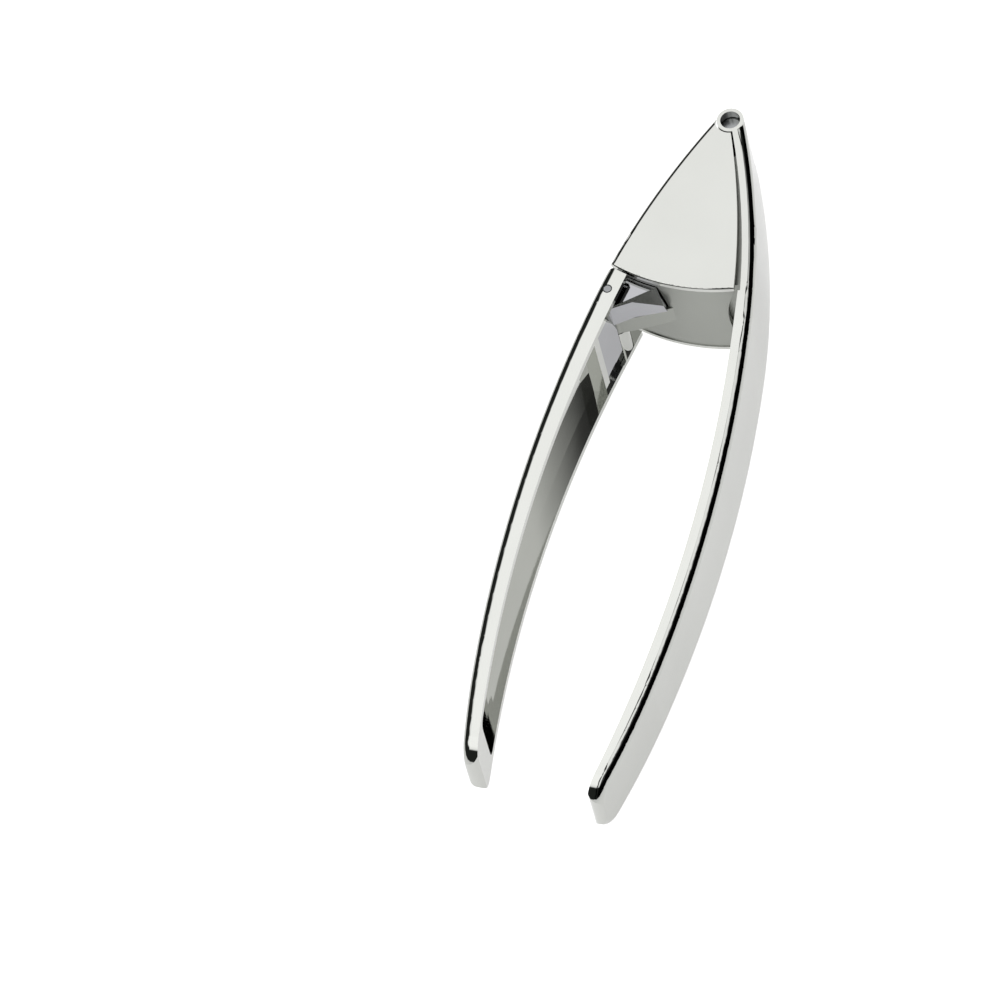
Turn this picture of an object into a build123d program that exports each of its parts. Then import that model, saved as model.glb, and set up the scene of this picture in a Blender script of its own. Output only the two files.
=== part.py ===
from build123d import *
from math import acos, asin, atan2, cos, degrees, radians, sin
import os

# Garlic press lying on its side, closed, in millimetres.
# X is the width across the two handles, Y runs from the handle tips up to the head, Z is the thickness.
# The drawing is made about the main pivot and moved at the end, so that the origin is the middle of
# the whole press, on the surface that it lies on.

# ---- overall form -------------------------------------------------------------------------------
overall_length = 171.0          # top of the eye to the tip of the right handle
left_handle_shortfall = 4.0     # the left handle stops this far above the right one's tip
head_thickness = 25.0           # across the two cheeks
tip_thickness = 16.0            # across a handle at its tip
belly_half_width = 22.1         # centre line to the outside of a handle at its fullest
belly_distance = 103.0          # main pivot down to the fullest place
belly_radius = 350.0            # long curve of the outside
shoulder_distance = 50.0        # where the long curve meets the tighter curve beside the head
tip_curve_length = 28.0         # the long curve meets the tighter curve this far above the tip
tip_curve_radius = 230.0
taper_distance = 45.0           # the handles start to thin out here
taper_blend_radius = 300.0      # softens the bend where they do
tip_corner_radius = 5.5         # corner of the tip, seen from the side
tip_end_radius = 2.0            # end of a handle, seen from the front
handle_edge_radius = 1.8        # long outer edges of both handles

# ---- main pivot ---------------------------------------------------------------------------------
eye_radius = 3.0
main_pin_radius = 2.2
main_pin_recess = 2.6           # how far each end of the pin sits below the eye
eye_boss_thickness = 5.0        # each ear of the fork at the main pivot
pivot_washer_thickness = 0.5

# ---- head ---------------------------------------------------------------------------------------
head_radius = 43.6              # bottom edge of the cheeks, about the main pivot
cheek_thickness = 1.2
cheek_edge_radius = 0.35
cheek_side_radius = 1.0         # the long edge that continues the handle's curve
side_wall_thickness = 1.3       # cast wall behind each cheek
seam = 0.25                     # the casting stays this far inside the cheek's outline
floor_wall = 2.0                # curved floor of the chamber
yoke_radius = 7.5               # solid block round the pivot barrel
closing_angle = 1.5             # how much further the press can close
mouth_notch_radius = 22.0       # shallow scoop in the floor's edge at the mouth
mouth_notch_depth = 2.4

# ---- sieve --------------------------------------------------------------------------------------
sieve_thickness = 1.2
sieve_setback = 1.7             # outline of the head to the outside of the sieve
sieve_groove_depth = 0.6
sieve_hole_radius = 0.9
sieve_pitch = 2.7
seat_rail_width = 2.0

# ---- left handle and its hinge ------------------------------------------------------------------
hinge_drop = 5.6                # bottom edge of the cheeks to the hinge pin
hinge_angle = 18.0              # to the left of straight down
hinge_pin_radius = 1.05
hinge_ear_depth = 5.0           # the ears run on this far below the pin as separate walls
lug_width = 5.0
lug_end_radius = 2.4
lug_root_angle = 1.5            # the lug grows out of the floor this far left of straight down
lug_depth = 4.2                 # below the cheeks' bottom edge, half way along
heel_reach_at_wall = 10.3       # hinge pin to the end of the heel, next to the cheek
heel_reach_at_lug = 11.9        # and next to the lug
heel_skin = 0.8                 # outside curve of the handle to the heel
heel_inset = 1.0                # inner edge of the handle to the heel's tail
heel_tail_length = 5.7          # below the ears
heel_tip_overhang = 0.7         # the heel's pointed end reaches this far below the floor
heel_tip_angle = 3.5            # and this far left of straight down
heel_low_overhang = 4.6         # its lower corner, likewise
heel_low_angle = 12.0
heel_facet_overhang = 3.0       # the plane ground off that corner passes through this point
heel_facet_angle = 10.5
heel_facet_depth = 1.0          # below the front of the heel
heel_facet_normal = (0.55, -0.70, 0.45)
left_width_top = 4.8
left_width_middle = 4.3
left_width_tip = 3.4

# ---- right handle and plunger -------------------------------------------------------------------
right_width_head = 3.0          # beside the head
right_width_top = 3.7
right_width_middle = 3.8
right_width_tip = 3.3
plunger_wall = 2.2
plunger_screw_radius = 1.5
plunger_screw_head_radius = 2.9
plunger_post_radius = 3.2
screw_skin = 0.6                # metal left outside the end of each screw
screw_slot_width = 0.8
plunger_screw_shares = (0.367, 0.711)   # of the way from the main pivot to the cheeks' bottom edge

# ---- channel in both handles --------------------------------------------------------------------
channel_web = 1.1               # outer skin left behind the channel
channel_wall = 1.6              # front and rear walls of the channel
channel_end = 9.0               # solid end of each handle
channel_end_radius = 2.0
channel_ramp = 16.0             # the channel's floor rises over this length
rib_thickness = 2.0             # cross rib that closes the heel's pocket
rib_inset = 0.6                 # inner edge of the handle to the rib

# ---- clearances ---------------------------------------------------------------------------------
running_gap = 0.05              # radial, pin in a hole that turns on it
side_gap = 0.3                  # between faces that pass each other
face_gap = 0.4                  # plunger face to sieve when fully closed
groove_play = 0.1               # sieve in its groove
pin_sink = 0.15                 # ends of the hinge pin below the ears
pin_chamfer = 0.25

# ---- sizes that follow --------------------------------------------------------------------------
mid_z = head_thickness / 2
tip_distance = overall_length - eye_radius
left_tip_distance = tip_distance - left_handle_shortfall
tip_curve_distance = tip_distance - tip_curve_length
plunger_screw_distances = [share * head_radius for share in plunger_screw_shares]
hinge_distance = head_radius + hinge_drop
ear_clearance = hinge_drop - side_gap
chamber_wall = cheek_thickness + side_wall_thickness
chamber_width = head_thickness - 2 * chamber_wall
casting_radius = head_radius - seam
floor_radius = casting_radius - floor_wall
barrel_half = mid_z - eye_boss_thickness - pivot_washer_thickness
reach = 400.0                   # longer than anything here, for cutting blocks


def polar(distance, angle):
    """Point at a distance from the main pivot; the angle is degrees to the right of straight down."""
    return Vector(distance * sin(radians(angle)), -distance * cos(radians(angle)))


def along(angle):
    """Unit vector, degrees anticlockwise from +X."""
    return Vector(cos(radians(angle)), sin(radians(angle)))


# Outside curve of the right half: three arcs, each tangent to the next, the first one tangent to the eye.
belly_centre = Vector(belly_half_width - belly_radius, -belly_distance)
shoulder_normal = degrees(asin((belly_distance - shoulder_distance) / belly_radius))
tip_normal = degrees(asin((belly_distance - tip_curve_distance) / belly_radius))
shoulder_point = belly_centre + along(shoulder_normal) * belly_radius
tip_point = belly_centre + along(tip_normal) * belly_radius
shoulder_radius = (shoulder_point.length**2 - eye_radius**2) / (
    2 * (shoulder_point.dot(along(shoulder_normal)) - eye_radius)
)
shoulder_centre = shoulder_point - along(shoulder_normal) * shoulder_radius
tip_centre = tip_point - along(tip_normal) * tip_curve_radius
eye_normal = degrees(atan2(-shoulder_centre.Y, -shoulder_centre.X))
end_normal = degrees(asin((-tip_distance - tip_centre.Y) / tip_curve_radius))
hinge = polar(hinge_distance, -hinge_angle)
ear_end = hinge_ear_depth - hinge.Y
heel_tail_distance = ear_end + heel_tail_length


def outline_at(distance, inset):
    """Point inside the right half's outside curve, level with a distance below the main pivot."""
    if distance < shoulder_distance:
        centre, radius = shoulder_centre, shoulder_radius
    elif distance < tip_curve_distance:
        centre, radius = belly_centre, belly_radius
    else:
        centre, radius = tip_centre, tip_curve_radius
    return centre + along(degrees(asin((-distance - centre.Y) / radius))) * (radius - inset)


def arc_about(centre, radius, start, end):
    """Arc from one normal direction to another."""
    places = [centre + along(a) * radius for a in (start, (start + end) / 2, end)]
    return ThreePointArc(*places)


def inside_outline(inset=0.0):
    """Everything on the centre line's side of the outside curve, moved in by an inset."""
    arcs = [
        arc_about(shoulder_centre, shoulder_radius - inset, eye_normal, shoulder_normal),
        arc_about(belly_centre, belly_radius - inset, shoulder_normal, tip_normal),
        arc_about(tip_centre, tip_curve_radius - inset, tip_normal, end_normal),
    ]
    top, bottom = arcs[0] @ 0, arcs[2] @ 1
    back = -belly_half_width
    closing = Polyline(bottom, (back, bottom.Y), (back, top.Y), top)
    return make_face(Wire(arcs[0].edges() + arcs[1].edges() + arcs[2].edges() + closing.edges()))


def inside_inner_edge(width_top, width_middle, width_tip):
    """Everything on the centre line's side of a handle's inner edge, run on past both ends."""
    edge = ThreePointArc(
        outline_at(shoulder_distance, width_top),
        outline_at(belly_distance, width_middle),
        outline_at(tip_distance - tip_corner_radius, width_tip),
    )
    above = edge @ 0 - (edge % 0) * (shoulder_distance + eye_radius)
    under = edge @ 1 + (edge % 1) * (2 * tip_corner_radius)
    back = -belly_half_width
    rest = Polyline(edge @ 1, under, (back, under.Y), (back, above.Y), above, edge @ 0)
    return make_face(Wire(edge.edges() + rest.edges()))


def slab(low, high):
    """Block from one height to another, as wide as it needs to be."""
    return Pos(0, -overall_length / 2, (low + high) / 2) * Box(reach, reach, high - low)


def level(face, low, high):
    """A face in the XY plane made solid from one height to another."""
    return extrude(Pos(0, 0, low) * face, high - low)


def below(distance):
    """Block that holds everything further from the main pivot than a distance, measured straight down."""
    return Pos(0, -distance - reach / 2, mid_z) * Box(reach, reach, reach)


def side_profile(inset, end_distance, corner):
    """Block that thins out towards the tips; its walls are moved in by an inset."""
    fall = (head_thickness - tip_thickness) / 2 / (tip_distance - taper_distance)
    half_end = mid_z - inset - fall * (end_distance - taper_distance)
    points = [
        (eye_radius + 1, mid_z - inset),
        (-taper_distance, mid_z - inset),
        (-end_distance, half_end),
        (-end_distance, -half_end),
        (-taper_distance, inset - mid_z),
        (eye_radius + 1, inset - mid_z),
    ]
    face = make_face(Polyline(*points, close=True))
    face = fillet(face.vertices().sort_by(Axis.X)[:2], corner)
    bends = [v for v in face.vertices() if abs(v.X + taper_distance) < 0.01]
    face = fillet(bends, taper_blend_radius)
    return Pos(-reach / 2, 0, mid_z) * extrude(Plane.YZ * face, reach)


def mirrored(shape):
    """The same shape for the left half."""
    return mirror(shape, Plane.YZ)


# ---- head ---------------------------------------------------------------------------------------


def turned_about_pivot(point, angle):
    return Vector(point).rotate(Axis.Z, angle)


def head_face_filled(inset=0.0):
    """Outline of the head: outside curve on the left, floor circle below, the closed handle on the right."""
    left_side = mirrored(Pos(shoulder_centre) * Circle(shoulder_radius - inset))
    handle_centre = turned_about_pivot(shoulder_centre, -closing_angle)
    mouth_side = Pos(handle_centre) * Circle(shoulder_radius - right_width_head - side_gap - inset)
    above = Pos(0, reach / 2) * Rectangle(reach, reach)
    return (Circle(head_radius - inset) & left_side & mouth_side) - above


def head_face(inset=0.0):
    """The same with room for the eye at its top."""
    room = Pos(0, -eye_radius / 4) * Rectangle(2 * (eye_radius + side_gap + inset), eye_radius / 2)
    return head_face_filled(inset) - Circle(eye_radius + side_gap + inset) - room


def make_cheek(front):
    """Polished plate that covers one side of the casting."""
    plate = level(head_face(), 0, cheek_thickness)
    outer_edges = plate.edges().group_by(Axis.Z)[0]
    side_edge = outer_edges.sort_by(Axis.X)[0]
    plate = fillet(side_edge, cheek_side_radius)
    across_bottom = -head_radius * cos(radians(2 * hinge_angle))
    bottom = [e for e in plate.edges().group_by(Axis.Z)[0] if (e @ 0.5).Y < across_bottom]
    plate = fillet(bottom, cheek_edge_radius)
    if front:
        plate = Pos(0, 0, head_thickness) * mirror(plate, Plane.XY)
    return plate


def heel_cone(extra):
    """Round the hinge pin, out to the end of the heel: furthest next to the lug, less by the cheeks."""
    wall_height = mid_z - chamber_wall
    lug_height = lug_width / 2
    at_wall, at_lug = heel_reach_at_wall + extra, heel_reach_at_lug + extra
    half = Polyline(
        (0, -wall_height), (at_wall, -wall_height), (at_lug, -lug_height),
        (at_lug, lug_height), (at_wall, wall_height), (0, wall_height), close=True,
    )
    return Pos(hinge.X, hinge.Y, mid_z) * revolve(Plane.XZ * make_face(half), Axis.Z)


def lug_face():
    """Arm that carries the hinge pin; it grows out of the chamber's floor."""
    buried = casting_radius - floor_wall / 2
    root_angle, top_angle = -lug_root_angle, -hinge_angle + 4
    root = polar(buried, root_angle)
    top_end = polar(buried, top_angle)
    crown = hinge + Vector(0, lug_end_radius)
    base = hinge - Vector(0, lug_end_radius)
    under = polar(head_radius + lug_depth, root_angle - 10)
    outline = [
        ThreePointArc(root, polar(buried, (root_angle + top_angle) / 2), top_end),
        Line(top_end, crown),
        Line(crown, base),
        ThreePointArc(base, under, root),
    ]
    edges = [e for part in outline for e in part.edges()]
    return make_face(Wire(edges)) + Pos(hinge.X, hinge.Y) * Circle(lug_end_radius)


def sieve_band(margin):
    """Where the sieve lies: a thin strip that follows the left side of the head."""
    outer = Pos(shoulder_centre) * Circle(shoulder_radius - sieve_setback + margin)
    inner = Pos(shoulder_centre) * Circle(shoulder_radius - sieve_setback - sieve_thickness - margin)
    ring = Circle(floor_radius - side_gap) - Circle(yoke_radius + side_gap)
    return mirrored(outer - inner) & ring & Pos(-reach / 4, -reach / 4) * Rectangle(reach / 2, reach / 2)


def make_head_frame():
    """Casting: side walls, curved floor notched for the heel, pivot barrel in its yoke, lug, sieve seat."""
    outline = head_face(seam)
    left_half = Pos(-reach / 4, 0) * Rectangle(reach / 2, reach)
    walls = level(outline, cheek_thickness, chamber_wall)
    walls += level(outline, head_thickness - chamber_wall, head_thickness - cheek_thickness)
    floor = level(outline - Circle(floor_radius), cheek_thickness, head_thickness - cheek_thickness)
    floor -= heel_cone(side_gap) & slab(mid_z + lug_width / 2, head_thickness)
    yoke = level(outline & Circle(yoke_radius), cheek_thickness, head_thickness - cheek_thickness)
    barrel = level(Circle(eye_radius - 2 * running_gap), mid_z - barrel_half, mid_z + barrel_half)
    neck = level(Circle(yoke_radius) & head_face_filled(seam), mid_z - barrel_half, mid_z + barrel_half)
    lug = level(lug_face(), mid_z - lug_width / 2, mid_z + lug_width / 2)
    rail_face = outline & mirrored(
        Pos(shoulder_centre) * (Circle(shoulder_radius) - Circle(shoulder_radius - sieve_setback))
    ) & left_half & Circle(floor_radius)
    rails = level(rail_face, chamber_wall, chamber_wall + seat_rail_width)
    rails += level(rail_face, head_thickness - chamber_wall - seat_rail_width, head_thickness - chamber_wall)
    frame = walls + floor + yoke + barrel + neck + lug + rails
    groove = sieve_groove_depth + groove_play
    frame -= level(sieve_band(groove_play), chamber_wall - groove, head_thickness - chamber_wall + groove)
    frame -= level(Circle(main_pin_radius + running_gap), 0, head_thickness)
    frame -= level(Pos(hinge.X, hinge.Y) * Circle(hinge_pin_radius + running_gap), 0, head_thickness)
    frame -= mouth_notch()
    return frame


def mouth_angle(distance):
    """Direction of the mouth's edge at a distance from the pivot."""
    handle_centre = turned_about_pivot(shoulder_centre, -closing_angle)
    radius = shoulder_radius - right_width_head - side_gap - seam
    across = handle_centre.length
    swing = (across**2 + distance**2 - radius**2) / (2 * across * distance)
    centre_direction = degrees(atan2(handle_centre.Y, handle_centre.X))
    return centre_direction + degrees(acos(swing)) + 90


def mouth_notch():
    """Scoop across the floor's edge at the mouth."""
    angle = mouth_angle(casting_radius)
    edge = polar(casting_radius, angle)
    outward = Vector(edge.X, edge.Y).normalized()
    tangent = Vector(-outward.Y, outward.X)
    centre = edge + tangent * (mouth_notch_radius - mouth_notch_depth)
    plane = Plane(origin=(centre.X, centre.Y, mid_z), x_dir=tuple(tangent), z_dir=tuple(outward))
    return extrude(plane * Circle(mouth_notch_radius), floor_wall * 2, both=True)


def make_sieve():
    """Perforated plate, held in a groove in each side wall."""
    low = chamber_wall - sieve_groove_depth
    plate = level(sieve_band(0), low, head_thickness - low)
    window = chamber_width - 2 * seat_rail_width
    columns = int((window - 2 * sieve_hole_radius) / sieve_pitch) + 1
    first = yoke_radius + 2 * sieve_pitch
    rows = int((floor_radius - first) / sieve_pitch)
    holes = []
    for row in range(rows):
        place = outline_at(first + row * sieve_pitch * cos(radians(hinge_angle)), sieve_setback)
        inward = (shoulder_centre - place).normalized()
        across = columns - row % 2
        for column in range(across):
            z = mid_z + (column - (across - 1) / 2) * sieve_pitch
            plane = Plane(origin=(-place.X, place.Y, z), z_dir=(-inward.X, inward.Y, 0))
            holes.append(extrude(plane * Circle(sieve_hole_radius), 2 * sieve_thickness, both=True))
    return plate - holes


# ---- right handle -------------------------------------------------------------------------------


def handle_band(width_top, width_middle, width_tip):
    """A handle of the right half, seen from the front; its end is still square."""
    return inside_outline() - inside_inner_edge(width_top, width_middle, width_tip)


def right_band():
    """The right handle seen from the front, without its eye; it is thinner beside the head."""
    beside_head = Circle(head_radius + 2 * side_gap)
    thin = inside_outline() - Pos(shoulder_centre) * Circle(shoulder_radius - right_width_head)
    return (thin & beside_head) + (handle_band(right_width_top, right_width_middle, right_width_tip) - beside_head)


def rounded_outside(arm):
    """Rounds the long outer edges, front and rear, and round the tip."""
    curves = [
        (shoulder_centre, shoulder_radius),
        (belly_centre, belly_radius),
        (tip_centre, tip_curve_radius),
    ]
    edges = []
    for edge in arm.edges():
        places = [Vector(abs((edge @ t).X), (edge @ t).Y) for t in (0.1, 0.5, 0.9)]
        on_outside = any(
            all(abs((place - centre).length - radius) < 0.01 for place in places) for centre, radius in curves
        )
        if on_outside and abs((edge % 0.5).Z) < 0.9:
            edges.append(edge)
    return fillet(edges, handle_edge_radius)


def end_limit(width_tip, end_distance):
    """Everything above a round end, for the right half."""
    start = end_distance - tip_end_radius
    round_end = Pos(outline_at(start, width_tip / 2)) * Circle(tip_end_radius)
    above = Pos(0, reach / 2 - start) * Rectangle(reach, reach)
    return level(above + round_end, 0, head_thickness)


def ramp_face(low_distance, width_tip):
    """Metal left behind the channel where its floor rises to the inner edge."""
    start = outline_at(low_distance - channel_ramp, channel_web)
    middle = outline_at(low_distance - channel_ramp / 2, channel_web + (width_tip - channel_web) / 4)
    end = outline_at(low_distance, width_tip)
    outside = Vector(belly_half_width, 0)
    rise = ThreePointArc(start, middle, end)
    return make_face(Wire(rise.edges() + Polyline(end, end + outside, start + outside, start).edges()))


def channel(top_distance, end_distance, width_tip):
    """Hollow down the inner side of a handle."""
    low_distance = end_distance - channel_end
    hollow = level(inside_outline(channel_web) - ramp_face(low_distance, width_tip), 0, head_thickness)
    hollow &= side_profile(channel_wall, low_distance, channel_end_radius)
    return hollow & below(top_distance)


def make_right_handle():
    """Casting with the fork at the main pivot; solid beside the head, where the plunger is screwed on."""
    arm = level(right_band(), 0, head_thickness) & side_profile(0, tip_distance, tip_corner_radius)
    arm = rounded_outside(arm) & end_limit(right_width_tip, tip_distance)
    arm += level(Circle(eye_radius), 0, head_thickness)
    arm -= channel(head_radius + 2 * channel_wall, tip_distance, right_width_tip)
    fork_gap = slab(eye_boss_thickness, head_thickness - eye_boss_thickness)
    arm -= level(Circle(eye_radius + side_gap), 0, head_thickness) & fork_gap
    arm -= level(Circle(main_pin_radius), 0, head_thickness)
    for distance in plunger_screw_distances:
        arm -= screw_shank(distance)
    return arm


def screw_end_x(distance):
    return outline_at(distance, screw_skin).X


def plunger_face_x(distance):
    """Pressing face, level with a distance below the pivot."""
    centre = turned_about_pivot(Vector(-shoulder_centre.X, shoulder_centre.Y), closing_angle)
    radius = plunger_face_radius()
    return centre.X - (radius**2 - (distance + centre.Y) ** 2) ** 0.5


def plunger_face_radius():
    return shoulder_radius - sieve_setback - sieve_thickness - face_gap


def rod(radius, x_low, x_high, distance):
    """Cylinder along X on the plunger's middle plane."""
    return extrude(Plane(origin=(x_low, -distance, mid_z), z_dir=(1, 0, 0)) * Circle(radius), x_high - x_low)


def screw_head_x(distance):
    """Underside of the screw's head, sunk below the lowest side of the sloping face."""
    return plunger_face_x(distance - plunger_screw_head_radius) + 2 * plunger_screw_radius


def screw_shank(distance):
    return rod(plunger_screw_radius, screw_head_x(distance), screw_end_x(distance), distance)


def plunger_outline(inner, outer, wall):
    """Sector about the main pivot between the pressing face and the right handle."""
    centre = turned_about_pivot(Vector(-shoulder_centre.X, shoulder_centre.Y), closing_angle)
    ring = Circle(outer) - Circle(inner)
    return ring & Pos(centre) * Circle(plunger_face_radius() - wall) & inside_outline(right_width_head)


def make_plunger():
    """Hollow casting that fills the chamber when the press is closed."""
    inner, outer = yoke_radius + side_gap, floor_radius - side_gap
    low = chamber_wall + side_gap
    body = level(plunger_outline(inner, outer, 0), low, head_thickness - low)
    wall = plunger_wall
    hollow = level(plunger_outline(inner + wall, outer - wall, wall), low + wall, head_thickness - low - wall)
    for distance in plunger_screw_distances:
        hollow -= rod(plunger_post_radius, -reach / 4, reach / 4, distance)
    body -= hollow
    for distance in plunger_screw_distances:
        body -= rod(plunger_screw_radius + running_gap, -reach / 4, reach / 4, distance)
        body -= rod(plunger_screw_head_radius + running_gap, -reach / 4, screw_head_x(distance), distance)
    return body


def make_plunger_screws():
    """Cheese-head screws that hold the plunger on the right handle."""
    screws = []
    for distance in plunger_screw_distances:
        seat = screw_head_x(distance)
        head_height = 1.2 * plunger_screw_radius
        head = rod(plunger_screw_head_radius, seat - head_height, seat, distance)
        slot_height = head_height / 2
        slot = Pos(seat - head_height, -distance, mid_z) * Box(slot_height * 2, screw_slot_width, reach)
        screws.append(head - slot + screw_shank(distance))
    return Compound(screws)


def make_main_pin():
    """Pivot pin, pressed into the fork and sunk below both faces."""
    pin = level(Circle(main_pin_radius), main_pin_recess, head_thickness - main_pin_recess)
    return chamfer(pin.edges().filter_by(GeomType.CIRCLE), pin_chamfer)


def make_pivot_washers():
    """Thin washers between the barrel and the fork's ears."""
    ring = Circle(eye_radius - 2 * running_gap) - Circle(main_pin_radius + running_gap)
    low = eye_boss_thickness + running_gap
    thickness = pivot_washer_thickness - 2 * running_gap
    return Compound([level(ring, z, z + thickness) for z in (low, head_thickness - low - thickness)])


# ---- left handle --------------------------------------------------------------------------------


def left_band():
    """The left handle's face, drawn on the right; it runs up past the hinge pin to the cheeks."""
    band = handle_band(left_width_top, left_width_middle, left_width_tip)
    band -= Circle(head_radius + 2 * side_gap)
    at_hinge = Pos(-hinge.X, hinge.Y)
    inner_side = at_hinge * Rot(0, 0, hinge_angle) * Pos(-reach / 4, 0) * Rectangle(reach / 2, reach)
    return band & (below_face(-hinge.Y) + inner_side + at_hinge * Circle(ear_clearance))


def below_face(distance):
    return Pos(0, -distance - reach / 2) * Rectangle(reach, reach)


def make_left_handle():
    """Casting with two ears at the hinge and a channel down its inner side."""
    arm = level(left_band(), 0, head_thickness) & side_profile(0, left_tip_distance, tip_corner_radius)
    arm = rounded_outside(arm) & end_limit(left_width_tip, left_tip_distance)
    arm -= slab(channel_wall, head_thickness - channel_wall) - below(ear_end)
    rib_distance = heel_tail_distance + rib_thickness / 2
    rib = Pos(0, -rib_distance, mid_z) * Box(reach, rib_thickness, reach)
    rib -= level(inside_outline(left_width_top - rib_inset), 0, head_thickness)
    arm -= channel(ear_end - channel_web, left_tip_distance, left_width_tip) - rib
    spacer = Pos(-hinge.X, hinge.Y) * Circle(lug_end_radius)
    arm += level(spacer, channel_wall, mid_z - lug_width / 2 - side_gap)
    arm = mirrored(arm)
    return arm - level(Pos(hinge.X, hinge.Y) * Circle(hinge_pin_radius), 0, head_thickness)


def heel_swing():
    """Left of the line from the hinge to the main pivot, only what clears the chamber's floor as it swings."""
    at_hinge = Pos(hinge.X, hinge.Y)
    right_of_line = Rot(0, 0, -hinge_angle) * Pos(reach / 4, 0) * Rectangle(reach / 2, reach)
    return at_hinge * (right_of_line + Circle(hinge_distance - floor_radius - side_gap))


def heel_lobe_face():
    """The heel's lobe: round the pin, then out under the chamber to fill the floor's notch."""
    tip = polar(head_radius + heel_tip_overhang, -heel_tip_angle)
    low = polar(head_radius + heel_low_overhang, -heel_low_angle)
    foot = mirrored_point(outline_at(heel_tail_top(), left_width_top - heel_inset))
    skin = mirrored_point(outline_at(heel_tail_top(), 0.0))
    corner = polar(floor_radius, -hinge_angle - heel_low_angle)
    top = polar(floor_radius, -heel_tip_angle)
    face = make_face(Polyline(tip, low, foot, skin, corner, top, close=True))
    face -= Circle(floor_radius + side_gap)
    return face & mirrored(inside_outline(heel_skin)) & heel_swing()


def mirrored_point(point):
    return Vector(-point.X, point.Y)


def heel_tail_top():
    return lug_end_radius + side_gap - hinge.Y


def make_heel():
    """Block between the ears: its tail sits in the pocket, its lobe passes in front of the lug."""
    lobe = level(heel_lobe_face(), mid_z + lug_width / 2 + side_gap, head_thickness - chamber_wall - side_gap)
    lobe &= heel_cone(0)
    lobe = faceted(lobe)
    tail_face = mirrored(inside_outline() - inside_outline(left_width_top - heel_inset))
    tail = level(tail_face, 0, head_thickness) & below(heel_tail_top())
    tail &= side_profile(channel_wall + running_gap, left_tip_distance, channel_end_radius)
    tail -= below(heel_tail_distance)
    skin = mirrored(level(inside_outline() - inside_outline(channel_web), 0, head_thickness))
    tail -= skin & below(ear_end)
    block = lobe + tail
    return block - level(Pos(hinge.X, hinge.Y) * Circle(hinge_pin_radius), 0, head_thickness)


def faceted(lobe):
    """Planes off the lobe's lower corner."""
    corner = polar(head_radius + heel_facet_overhang, -heel_facet_angle)
    depth = head_thickness - chamber_wall - heel_facet_depth
    facet = Plane(origin=(corner.X, corner.Y, depth), z_dir=heel_facet_normal)
    return split(lobe, bisect_by=facet, keep=Keep.BOTTOM)


def make_hinge_pin():
    pin = level(Pos(hinge.X, hinge.Y) * Circle(hinge_pin_radius), pin_sink, head_thickness - pin_sink)
    return chamfer(pin.edges().filter_by(GeomType.CIRCLE), pin_chamfer)


# ---- everything, moved so that the press is centred on the origin -------------------------------

parts = {
    "head_frame": make_head_frame(),
    "front_cheek": make_cheek(True),
    "rear_cheek": make_cheek(False),
    "sieve_plate": make_sieve(),
    "right_handle": make_right_handle(),
    "plunger": make_plunger(),
    "plunger_screws": make_plunger_screws(),
    "main_pivot_pin": make_main_pin(),
    "pivot_washers": make_pivot_washers(),
    "left_handle": make_left_handle(),
    "hinge_heel": make_heel(),
    "hinge_pin": make_hinge_pin(),
}

os.makedirs("parts", exist_ok=True)
for name, shape in parts.items():
    export_step(Pos(0, overall_length / 2 - eye_radius, 0) * shape, f"parts/{name}.step")
    print(name, round(shape.volume, 1))
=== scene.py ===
# %% [markdown]
# A garlic press in polished chrome, seen on a lit white table.
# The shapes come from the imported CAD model, which stays where it is. This lesson gives each piece the
# finish that the real one has, then sets up the table, the light and the camera.

from math import cos, radians, sin

import bpy
from mathutils import Matrix, Vector


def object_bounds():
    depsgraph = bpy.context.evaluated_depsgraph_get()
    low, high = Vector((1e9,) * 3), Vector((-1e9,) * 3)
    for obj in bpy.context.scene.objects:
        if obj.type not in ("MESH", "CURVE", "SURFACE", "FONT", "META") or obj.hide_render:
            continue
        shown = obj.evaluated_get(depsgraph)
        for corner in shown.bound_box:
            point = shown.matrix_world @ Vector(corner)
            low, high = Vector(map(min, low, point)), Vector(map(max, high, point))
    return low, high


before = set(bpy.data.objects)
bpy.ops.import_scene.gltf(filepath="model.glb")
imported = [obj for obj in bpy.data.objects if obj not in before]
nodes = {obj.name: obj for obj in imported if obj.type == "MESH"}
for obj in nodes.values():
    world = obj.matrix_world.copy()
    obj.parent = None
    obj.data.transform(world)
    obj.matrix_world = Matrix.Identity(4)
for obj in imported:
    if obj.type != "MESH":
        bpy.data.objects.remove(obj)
cad_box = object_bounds()
print("nodes", sorted(nodes))

# %% [markdown]
# Every finish below is a small node tree. One helper turns a colour as a designer writes it (sRGB hex) into
# the linear values that light adds up in. Another adds a node, sets it up and links it in one line.

# %% Two helpers


def linear(hex_colour):
    """sRGB hex to linear red, green, blue and alpha."""
    parts = [int(hex_colour[i : i + 2], 16) / 255 for i in (1, 3, 5)]
    return [p / 12.92 if p <= 0.04045 else ((p + 0.055) / 1.055) ** 2.4 for p in parts] + [1.0]


def add(tree, kind, settings=None, **inputs):
    """Adds a node. Settings are its own choices; inputs are values, or sockets to link from."""
    node = tree.nodes.new(kind)
    for name, value in (settings or {}).items():
        setattr(node, name, value)
    for name, value in inputs.items():
        socket = node.inputs[int(name[1:]) if name[1:].isdigit() else name.replace("_", " ")]
        if isinstance(value, bpy.types.NodeSocket):
            tree.links.new(value, socket)
        else:
            socket.default_value = value
    return node


def new_material(name):
    """An empty material, and the object's own position in metres."""
    material = bpy.data.materials.new(name)
    material.use_nodes = True
    tree = material.node_tree
    tree.nodes.clear()
    place = add(tree, "ShaderNodeTexCoord").outputs["Object"]
    return material, tree, place


def between(tree, pattern, colours):
    """A colour that follows a pattern from the first hex value to the second."""
    first, second = (linear(c) for c in colours)
    mix = add(tree, "ShaderNodeMix", {"data_type": "RGBA"}, _0=pattern.outputs[0], _6=first, _7=second)
    return mix.outputs[2]


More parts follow.
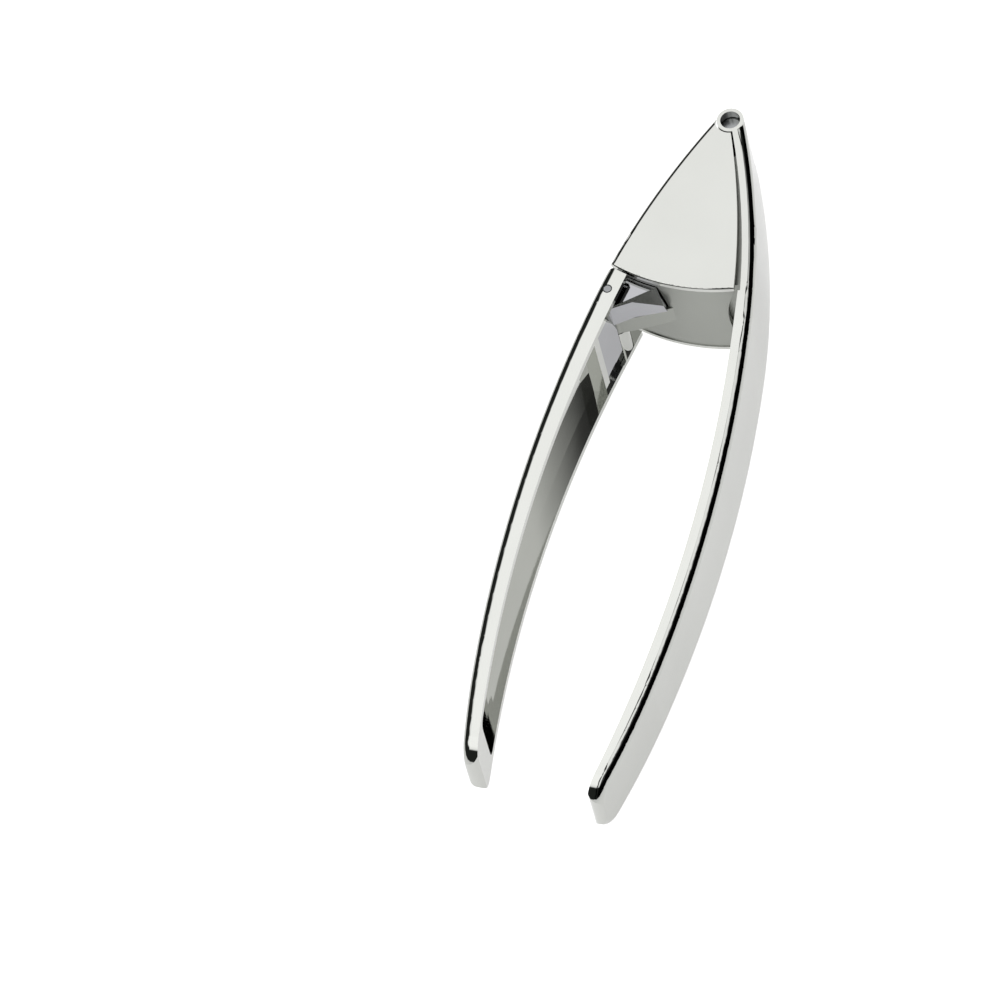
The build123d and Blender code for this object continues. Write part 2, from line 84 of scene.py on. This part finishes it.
def ranged(tree, pattern, low, high):
    """A value that follows a pattern from low to high."""
    return add(tree, "ShaderNodeMapRange", Value=pattern.outputs[0], _3=low, _4=high).outputs[0]


def metal(name, tree, tone, rough, relief):
    """A bare metal surface; a metal keeps the shader's own refraction."""
    shader = add(
        tree, "ShaderNodeBsdfPrincipled", Metallic=1.0,
        Base_Color=tone, Roughness=rough, Normal=relief.outputs[0],
    )
    finish_with(tree, shader)
    print("made", name)


def finish_with(tree, shader):
    add(tree, "ShaderNodeOutputMaterial", Surface=shader.outputs[0])


def give(material, *names):
    """Puts a finish on CAD nodes."""
    for name in names:
        slots = nodes[name].data.materials
        slots.clear()
        slots.append(material)


# %% [markdown]
# Mirror-polished chrome plate on a zinc casting. Nearly all of its look is what it reflects.
# It is not perfectly even, though: polishing leaves a faint, broad waviness, and handling leaves
# hairline wear that dulls it in patches. Both are kept very small, or it stops looking like chrome.
# The heel's small facets are polished by hand, a little less evenly. Their colour is painted a little darker
# than the handles' chrome as painted shade, standing in for the shade the heel sits in.

# %% Polished chrome plate
MM = 0.001
HAZE_SIZE, WAVE_SIZE = 14 * MM, 9 * MM
WAVE_HEIGHT = 0.02 * MM


def polished_chrome(name, colours, waviness):
    material, tree, place = new_material(name)
    haze = add(tree, "ShaderNodeTexNoise", Vector=place, Scale=1 / HAZE_SIZE, Detail=3.0)
    waves = add(tree, "ShaderNodeTexNoise", Vector=place, Scale=1 / WAVE_SIZE, Detail=1.0)
    relief = add(
        tree, "ShaderNodeBump", Height=waves.outputs[0], Strength=waviness, Distance=WAVE_HEIGHT
    )
    metal(name, tree, between(tree, haze, colours), ranged(tree, haze, 0.025, 0.06), relief)
    return material


handle_chrome = polished_chrome("polished_chrome_plate", ("#CACBC7", "#D1D2CE"), 0.2)
give(handle_chrome, "right_handle", "left_handle", "front_cheek", "rear_cheek")
# painted shade: the heel's chrome colour is darker than the handles' to stand in for the shade it sits in
heel_chrome_painted_shade = polished_chrome("polished_heel_painted_shade", ("#A6A7AA", "#B6B6BA"), 0.4)
give(heel_chrome_painted_shade, "hinge_heel")
print("chrome on handles, heel and cheeks")

# %% [markdown]
# The same plate left as cast, inside the head and on the plunger, where no polishing wheel reaches.
# A die casting's skin is finely pebbled, so it reflects light as a soft grey.

# %% Chrome plate left as cast
PEBBLE_SIZE, PATCH_SIZE = 0.5 * MM, 11 * MM
PEBBLE_HEIGHT = 0.03 * MM


def cast_chrome(name, colours):
    material, tree, place = new_material(name)
    grain = add(
        tree, "ShaderNodeTexNoise", Vector=place, Scale=1 / PEBBLE_SIZE, Detail=4.0, Roughness=0.6
    )
    patches = add(tree, "ShaderNodeTexNoise", Vector=place, Scale=1 / PATCH_SIZE, Detail=2.0)
    relief = add(
        tree, "ShaderNodeBump", Height=grain.outputs[0], Strength=0.35, Distance=PEBBLE_HEIGHT
    )
    metal(name, tree, between(tree, patches, colours), ranged(tree, patches, 0.28, 0.42), relief)
    return material


give(cast_chrome("as_cast_chrome_plate", ("#9C9E98", "#ABADA8")), "head_frame", "plunger")
print("as-cast plate on the head and the plunger")

# %% [markdown]
# The sieve is punched from stainless sheet that was brushed first, so its scratches all run one way.
# Stretched noise gives them: fine across the brushing, long along it.

# %% Brushed stainless sheet
BRUSH_ACROSS, BRUSH_ALONG = 0.15 * MM, 6 * MM
SCRATCH_DEPTH = 0.01 * MM


def lined_steel(name, colours, scratch):
    """The scratch is the size of one tool mark along X, Y and Z."""
    material, tree, place = new_material(name)
    stretch = tuple(1 / size for size in scratch)
    run = add(tree, "ShaderNodeMapping", Vector=place, Scale=stretch)
    lines = add(tree, "ShaderNodeTexNoise", Vector=run.outputs[0], Scale=1.0, Detail=3.0)
    relief = add(
        tree, "ShaderNodeBump", Height=lines.outputs[0], Strength=0.25, Distance=SCRATCH_DEPTH
    )
    metal(name, tree, between(tree, lines, colours), ranged(tree, lines, 0.22, 0.38), relief)
    return material


brush_mark = (BRUSH_ACROSS, BRUSH_ACROSS, BRUSH_ALONG)
sheet = lined_steel("brushed_stainless_sheet", ("#A9ABAB", "#BBBDBD"), brush_mark)
give(sheet, "sieve_plate")
print("brushed sheet on the sieve")

# %% [markdown]
# Pins and screws are turned from stainless bar. The tool leaves fine rings about their own length: the pins
# stand along Z, the screws lie along X.

# %% Turned and ground stainless bar
TURNED, ROUND = 0.08 * MM, 3 * MM
ring_on_pin, ring_on_screw = (ROUND, ROUND, TURNED), (TURNED, ROUND, ROUND)
pin_steel = lined_steel("centreless_ground_stainless_pin", ("#A2A4A6", "#B4B6B8"), ring_on_pin)
give(pin_steel, "main_pivot_pin", "hinge_pin")
screw_steel = lined_steel("turned_stainless_screw", ("#96989A", "#AAACAE"), ring_on_screw)
give(screw_steel, "plunger_screws")
print("bar on the pins and screws")

# %% [markdown]
# The two washers in the main pivot are stamped from natural acetal: an off-white plastic, a little waxy,
# matte from the rolled sheet and slightly uneven in tone where grease has got into it.

# %% Acetal washers
acetal, tree, place = new_material("stamped_natural_acetal")
CLOUD_SIZE = 2 * MM
cloud = add(tree, "ShaderNodeTexNoise", Vector=place, Scale=1 / CLOUD_SIZE, Detail=3.0)
shader = add(
    tree, "ShaderNodeBsdfPrincipled",
    Base_Color=between(tree, cloud, ("#C9C8C0", "#DAD9D2")), Roughness=ranged(tree, cloud, 0.45, 0.6),
)
finish_with(tree, shader)
give(acetal, "pivot_washers")
print("acetal on the washers")

# %% [markdown]
# The table is a sheet of white acrylic lit from below, so it is white without a shadow. Seen straight on it
# is brighter than what the chrome picks up from it, as a lit panel with a narrow beam would be.

# %% Table
TABLE_SIZE, TABLE_GAP = 0.7, 0.0002
bpy.ops.mesh.primitive_plane_add(size=TABLE_SIZE, location=(0, 0, cad_box[0].z - TABLE_GAP))
table = bpy.context.object
table.name = "table"
acrylic, tree, place = new_material("white_acrylic_sheet")
GLOW_IN_CHROME, GLOW_SEEN = 0.6, 0.9
straight = add(tree, "ShaderNodeLightPath").outputs["Is Camera Ray"]
glow = add(tree, "ShaderNodeMapRange", Value=straight, _3=GLOW_IN_CHROME, _4=GLOW_SEEN)
shader = add(
    tree, "ShaderNodeBsdfPrincipled", Base_Color=linear("#F2F2F2"), Roughness=0.08,
    Emission_Color=linear("#FFFFFF"), Emission_Strength=glow.outputs[0],
)
finish_with(tree, shader)
table.data.materials.append(acrylic)
print("table", TABLE_SIZE, "m square")

# %% [markdown]
# Chrome shows the studio. One white panel hangs above the table's left half and a second, narrower and a
# little dimmer, hangs to the right of it. Everything else is dark. The dark band between the white table and
# the panels draws every rounded edge with a crisp black line, and the slit between the panels adds a thin
# line beside it. The channels take their tone from the second panel.
# The real room could be built from boxes, but a sky that is worked out from the direction alone has no
# edges to place and costs nothing to render.

# %% Studio
CEILING = ((0.74, (0.02, 0.022, 0.02, 1)), (0.80, (1.15, 1.15, 1.15, 1)), (0.90, (1.4, 1.4, 1.4, 1)))
PANELS = ((-0.03, 1.0), (0.0, 0.05), (0.06, 0.05), (0.10, 0.85), (0.28, 0.85), (0.36, 0.05))

world = bpy.data.worlds.new("studio")
bpy.context.scene.world = world
world.use_nodes = True
tree = world.node_tree
tree.nodes.clear()


def stepped(factor, stops):
    """A colour ramp through the given places and colours."""
    ramp = add(tree, "ShaderNodeValToRGB", Fac=factor)
    while len(ramp.color_ramp.elements) < len(stops):
        ramp.color_ramp.elements.new(0.5)
    for stop, (place, colour) in zip(ramp.color_ramp.elements, stops):
        stop.position, stop.color = place, colour
    return ramp.outputs[0]


direction = add(tree, "ShaderNodeTexCoord").outputs["Generated"]
split = add(tree, "ShaderNodeSeparateXYZ", Vector=direction)
across = add(tree, "ShaderNodeMapRange", Value=split.outputs["X"], _1=-1.0, _2=1.0).outputs[0]
panels = stepped(across, [((x + 1) / 2, (light, light, light, 1)) for x, light in PANELS])
room = add(
    tree, "ShaderNodeBackground", Color=stepped(split.outputs["Z"], CEILING), Strength=panels
)
paper = add(tree, "ShaderNodeBackground", Color=linear("#F7F7F7"), Strength=1.0)
seen = add(tree, "ShaderNodeLightPath").outputs["Is Camera Ray"]
both = add(tree, "ShaderNodeMixShader", _0=seen, _1=room.outputs[0], _2=paper.outputs[0])
add(tree, "ShaderNodeOutputWorld", Surface=both.outputs[0])
bpy.context.scene.view_settings.view_transform = "Standard"
print("studio with", len(PANELS), "steps across and", len(CEILING), "up")

# %% [markdown]
# A long lens from well back, turned a little, as if the press had been laid down at a slant.

# %% Camera
ELEVATION, AZIMUTH, ROLL = radians(57.4), radians(29.5), radians(16.3)
DISTANCE = 3.0
LENS, SENSOR = 494.64, 36.0
EYE_RADIUS = 0.003
PIVOT = Vector((0.0, cad_box[1].y - EYE_RADIUS, cad_box[1].z))
PIVOT_IN_VIEW = Vector((0.05024, 0.08299, 0.0))

back = Vector((sin(AZIMUTH) * cos(ELEVATION), -cos(AZIMUTH) * cos(ELEVATION), sin(ELEVATION)))
level_right = Vector((cos(AZIMUTH), sin(AZIMUTH), 0))
level_up = back.cross(level_right)
right = level_right * cos(ROLL) - level_up * sin(ROLL)
up = level_right * sin(ROLL) + level_up * cos(ROLL)
camera = bpy.data.objects.new("camera", bpy.data.cameras.new("camera"))
bpy.context.scene.collection.objects.link(camera)
turn = Matrix((right, up, back)).transposed().to_4x4()
place_at = PIVOT - right * PIVOT_IN_VIEW.x - up * PIVOT_IN_VIEW.y + back * DISTANCE
camera.matrix_world = Matrix.Translation(place_at) @ turn
camera.data.sensor_width = SENSOR
camera.data.lens = LENS
camera.data.clip_start, camera.data.clip_end = 0.05, 20.0
bpy.context.scene.camera = camera
print("camera at", [round(v, 3) for v in place_at])
